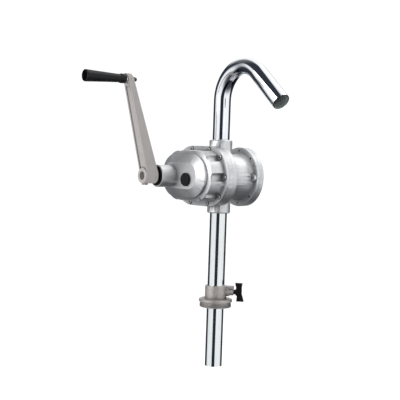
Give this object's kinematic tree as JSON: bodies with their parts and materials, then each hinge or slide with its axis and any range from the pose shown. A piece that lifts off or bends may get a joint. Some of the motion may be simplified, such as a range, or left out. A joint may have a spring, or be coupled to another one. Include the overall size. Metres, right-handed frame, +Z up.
{
  "type": "drum barrel pump",
  "caption": "Hand-cranked rotary drum pump: geared cast head, bent discharge spout, telescopic suction tube and threaded bung adapter with a wing clamp.",
  "frame": {"origin": "on the suction tube's axis, level with the top of the bung adapter's thread", "axes": "+Z up along the suction tube, +X to the side the spout points to, -Y to the crank side"},
  "size_m": [0.2819, 0.331, 0.5741],
  "materials": {
    "cast_head": "bead-blasted cast aluminium, satin",
    "cast_arm": "as-cast aluminium, warm light grey, matt",
    "cast_bung": "die-cast zinc-aluminium, warm grey, matt",
    "chrome_tube": "bright chromed steel tube",
    "steel": "machined steel",
    "bronze": "sintered bronze",
    "rubber": "black rubber, matt",
    "black_plastic": "moulded black plastic, satin",
    "gasket": "pressed fibre gasket, matt",
    "vane": "filled phenolic, matt",
    "rotor_iron": "ground cast iron",
    "nylon": "natural nylon, satin"
  },
  "bodies": {
    "bung_adapter": {"bung_adapter": "cast_bung"},
    "tube_seal": {"tube_seal": "rubber"},
    "clamp_pad": {"clamp_pad": "bronze"},
    "wing_screw": {"wing_stud": "steel", "wing_knob": "black_plastic"},
    "pump": {"pump_body": "cast_head", "gear_case": "cast_head", "gear_case_gasket": "gasket", "gear_case_screws": "steel", "filler_plug": "rubber", "rear_cover": "cast_head", "rear_gasket": "gasket", "rear_screws": "steel", "crank_bush_front": "bronze", "crank_bush_rear": "bronze", "shaft_seal": "rubber", "rotor_bush_front": "bronze", "rotor_bush_rear": "bronze", "rotor_seal": "rubber", "spout_tube": "chrome_tube", "suction_tube": "chrome_tube", "tube_end_bush": "nylon"},
    "crank": {"crank_shaft": "steel", "drive_gear": "steel", "drive_gear_key": "steel", "drive_gear_circlip": "steel", "crank_arm": "cast_arm", "crank_set_screw": "steel", "grip_spindle": "steel", "spindle_nut": "steel", "grip_washer": "steel"},
    "grip": {"grip": "black_plastic"},
    "rotor": {"rotor_shaft": "steel", "rotor": "rotor_iron", "rotor_key": "steel", "rotor_pinion": "steel", "pinion_key": "steel", "pinion_circlip": "steel", "vane_1": "vane", "vane_2": "vane", "vane_3": "vane", "vane_4": "vane"},
    "inner_tube": {"inner_tube": "steel", "guide_bush": "nylon", "foot_strainer": "steel"}
  },
  "joints": [
    {"name": "pump_swivel", "type": "hinge", "parent": "bung_adapter", "child": "tube_seal", "pos_m": [0, 0, 0.0084], "axis": [0, 0, 1], "continuous": true},
    {"name": "pump_height", "type": "slide", "parent": "tube_seal", "child": "pump", "axis": [0, 0, 1], "range_m": [-0.13, 0.1]},
    {"name": "crank_turn", "type": "hinge", "parent": "pump", "child": "crank", "pos_m": [-0.05396, 0, 0.2354], "axis": [0, -1, 0], "continuous": true},
    {"name": "grip_spin", "type": "hinge", "parent": "crank", "child": "grip", "pos_m": [-0.05396, -0.22, 0.4084], "axis": [0, -1, 0], "continuous": true},
    {"name": "rotor_spin", "type": "hinge", "parent": "pump", "child": "rotor", "pos_m": [-0.004, 0, 0.2374], "axis": [0, -1, 0], "continuous": true},
    {"name": "suction_extend", "type": "slide", "parent": "pump", "child": "inner_tube", "axis": [0, 0, -1], "range_m": [0, 0.2]},
    {"name": "clamp_slide", "type": "slide", "parent": "bung_adapter", "child": "clamp_pad", "axis": [0.7071, 0.7071, 0], "range_m": [0, 0.0009]},
    {"name": "wing_turn", "type": "hinge", "parent": "clamp_pad", "child": "wing_screw", "pos_m": [0.02404, 0.02404, 0.0221], "axis": [0.7071, 0.7071, 0], "range_deg": [0, 250]}
  ],
  "couplings": [
    {"joint": "rotor_spin", "follows": "crank_turn", "ratio": -1.5},
    {"joint": "clamp_slide", "follows": "wing_turn", "m_per_rad": 0.00019894}
  ]
}
